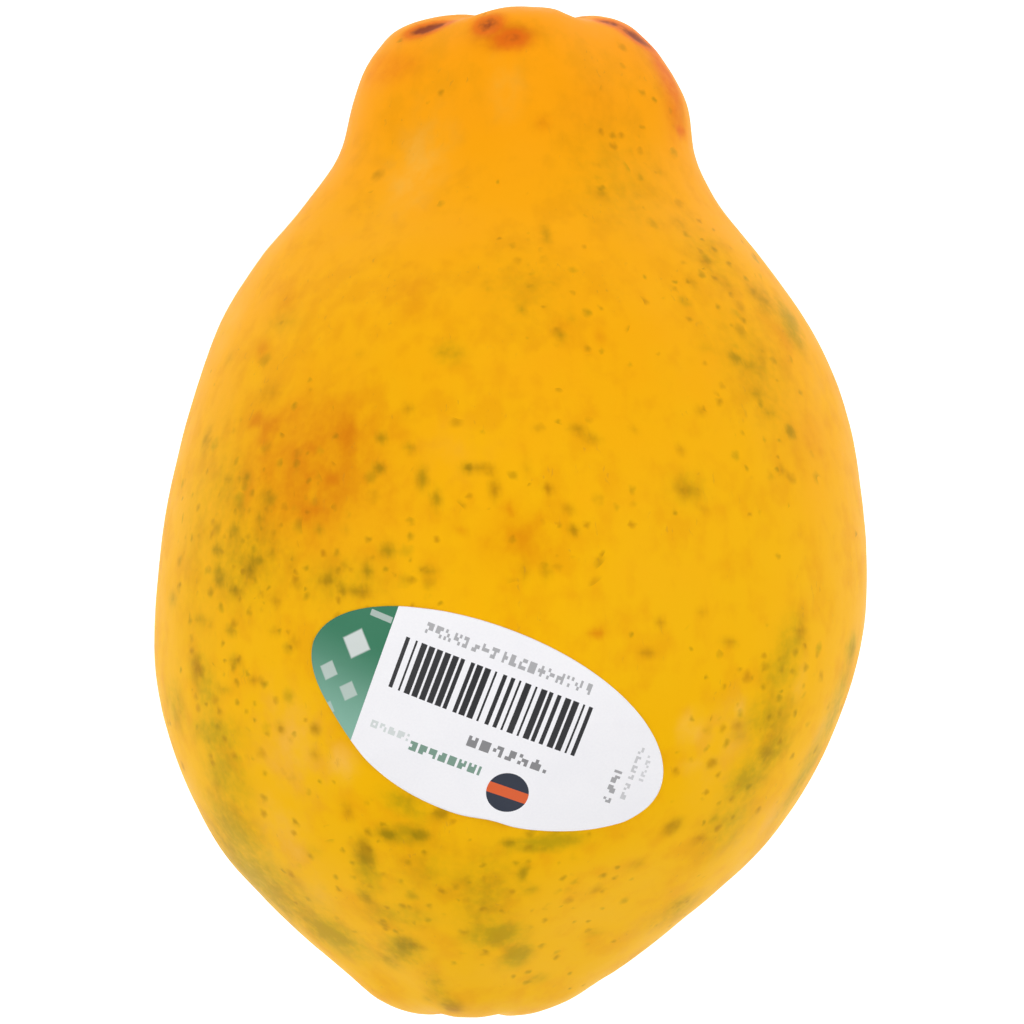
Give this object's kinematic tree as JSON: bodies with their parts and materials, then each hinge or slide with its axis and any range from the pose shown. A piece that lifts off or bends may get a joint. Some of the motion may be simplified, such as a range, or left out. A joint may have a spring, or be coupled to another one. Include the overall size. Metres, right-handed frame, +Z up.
{
  "type": "papaya",
  "caption": "Ripe pear-shaped papaya lying on its side, with a blunt stem end, a tapering blossom end and an oval paper label on its upper side.",
  "frame": {"origin": "centre of the small flat spot that the fruit rests on, on the plane of the surface below", "axes": "+Z up, +Y towards the stem end, +X to the right as seen from above with the stem end away from the viewer"},
  "size_m": [0.1058, 0.1494, 0.1011],
  "materials": {
    "skin": "waxy satin fruit skin, orange-yellow with olive freckles",
    "label": "smooth coated paper, printed"
  },
  "bodies": {
    "root": {"papaya_fruit": "skin", "produce_label": "label"}
  },
  "joints": []
}
